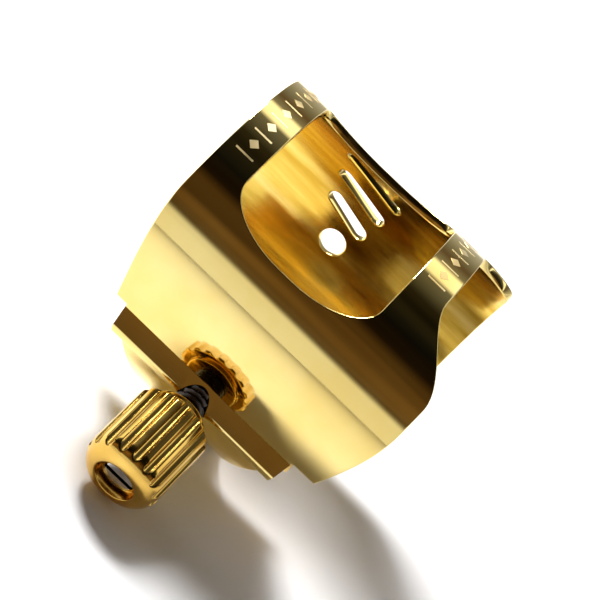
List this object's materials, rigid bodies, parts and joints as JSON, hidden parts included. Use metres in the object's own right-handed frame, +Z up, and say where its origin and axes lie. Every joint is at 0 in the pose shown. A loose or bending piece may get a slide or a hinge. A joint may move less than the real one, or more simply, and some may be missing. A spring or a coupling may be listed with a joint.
{
  "type": "saxophone ligature",
  "caption": "Round sheet-metal ligature with a side window and a keel, closed on the reed by one radial thumbscrew that drives a swivelling pressure plate.",
  "frame": {"origin": "on the ring's axis, in the plane of the thumbscrew", "axes": "+Y along the ring's axis towards the wide, shank end; +Z up with the ligature lying on its ring and the rim of its knob; +X to the side where the thumbscrew stands out"},
  "size_m": [0.0304, 0.021, 0.0224],
  "materials": {
    "ring": "mirror-polished gold plate",
    "keel": "mirror-polished gold plate",
    "boss": "polished gold plate",
    "cup": "polished gold plate",
    "plate": "polished gold plate",
    "clip": "bright spring steel",
    "knob": "polished gold plate, fluted",
    "stud": "dark steel, threaded"
  },
  "bodies": {
    "frame": {"ring_body": "ring", "keel_rail": "keel", "threaded_boss": "boss"},
    "swivel": {"thrust_cup": "cup"},
    "thumbscrew": {"thumb_knob": "knob", "screw_stud": "stud", "retaining_ring": "clip"},
    "plate": {"pressure_plate": "plate"}
  },
  "joints": [
    {"name": "screw_advance", "type": "slide", "parent": "frame", "child": "swivel", "axis": [-0.8976, 0, 0.4407], "range_m": [-0.0007, 0.001]},
    {"name": "knob_spin", "type": "hinge", "parent": "swivel", "child": "thumbscrew", "pos_m": [0.01257, 0, -0.00617], "axis": [-0.8976, 0, 0.4407], "range_deg": [-562, 802]},
    {"name": "plate_tilt", "type": "hinge", "parent": "swivel", "child": "plate", "pos_m": [0.00682, 0, -0.00335], "axis": [-0.4407, 0, -0.8976], "range_deg": [-2, 2]}
  ],
  "couplings": [
    {"joint": "knob_spin", "follows": "screw_advance", "rad_per_m": 13963}
  ]
}
